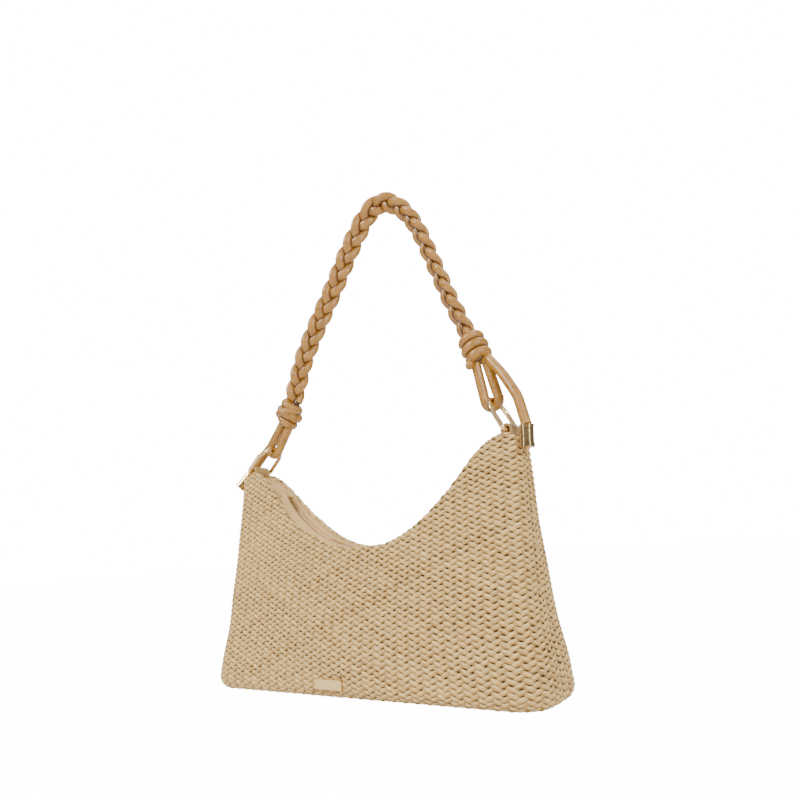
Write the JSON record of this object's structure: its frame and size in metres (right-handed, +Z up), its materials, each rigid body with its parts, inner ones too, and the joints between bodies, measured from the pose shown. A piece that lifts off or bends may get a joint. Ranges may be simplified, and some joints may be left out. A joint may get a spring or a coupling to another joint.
{
  "type": "hobo bag",
  "caption": "Small woven-straw hobo bag with a scooped zip top, plaited leather-cord shoulder strap knotted to D-rings, metal cord caps and a blank plate",
  "frame": {"origin": "centre of the footprint, on the surface the bag stands on", "axes": "+X along the bag to the right seen from the front, -Y out of the front face, +Z up; the strap standing up"},
  "size_m": [0.283, 0.0707, 0.3743],
  "materials": {
    "woven_straw": "matte woven paper-straw, natural beige",
    "facing_cloth": "smooth beige plain-weave cloth",
    "lining_cloth": "thin plain-weave lining",
    "zip_tape": "woven tape",
    "gold_metal": "polished pale gold plating",
    "tan_leather": "smooth tan leather",
    "leather_cord": "satin round leather cord"
  },
  "bodies": {
    "bag": {"front_panel": "woven_straw", "back_panel": "woven_straw", "base_panel": "woven_straw", "gusset_left": "woven_straw", "gusset_right": "woven_straw", "facing_front": "facing_cloth", "facing_back": "facing_cloth", "facing_end_left": "facing_cloth", "facing_end_right": "facing_cloth", "lining": "lining_cloth", "zip_tape_front": "zip_tape", "zip_tape_back": "zip_tape", "zip_teeth_front": "gold_metal", "zip_teeth_back": "gold_metal", "zip_stop_left": "gold_metal", "zip_stop_right": "gold_metal", "name_plate": "gold_metal", "tab_loop_left": "tan_leather", "tab_loop_right": "tan_leather"},
    "strap": {"strap_cord_a": "leather_cord", "strap_cord_b": "leather_cord", "strap_cord_c": "leather_cord", "knot_left": "leather_cord", "knot_right": "leather_cord", "ring_loop_left": "leather_cord", "ring_loop_right": "leather_cord", "tail_left": "leather_cord", "tail_right": "leather_cord", "end_cap_left": "gold_metal", "end_cap_right": "gold_metal"},
    "left_ring": {"ring_left": "gold_metal"},
    "right_ring": {"ring_right": "gold_metal"},
    "slider": {"zip_slider": "gold_metal"},
    "puller": {"zip_puller": "gold_metal"}
  },
  "joints": [
    {"name": "strap_swing", "type": "hinge", "parent": "bag", "child": "strap", "pos_m": [0, 0, 0.1825], "axis": [1, 0, 0], "range_deg": [-130, 130], "deforming": ["ring_loop_left", "ring_loop_right", "tail_left", "tail_right"]},
    {"name": "ring_left_tilt", "type": "hinge", "parent": "bag", "child": "left_ring", "pos_m": [-0.117, 0, 0.1715], "axis": [0, 1, 0], "range_deg": [-6, 6]},
    {"name": "ring_right_tilt", "type": "hinge", "parent": "bag", "child": "right_ring", "pos_m": [0.117, 0, 0.1715], "axis": [0, 1, 0], "range_deg": [-6, 6]},
    {"name": "zip_travel", "type": "hinge", "parent": "bag", "child": "slider", "pos_m": [0, 0, 0.1975], "axis": [0, 1, 0], "range_deg": [0, 108]},
    {"name": "puller_flip", "type": "hinge", "parent": "slider", "child": "puller", "pos_m": [0.07568, 0, 0.14251], "axis": [0, 1, 0], "range_deg": [0, 140]}
  ]
}
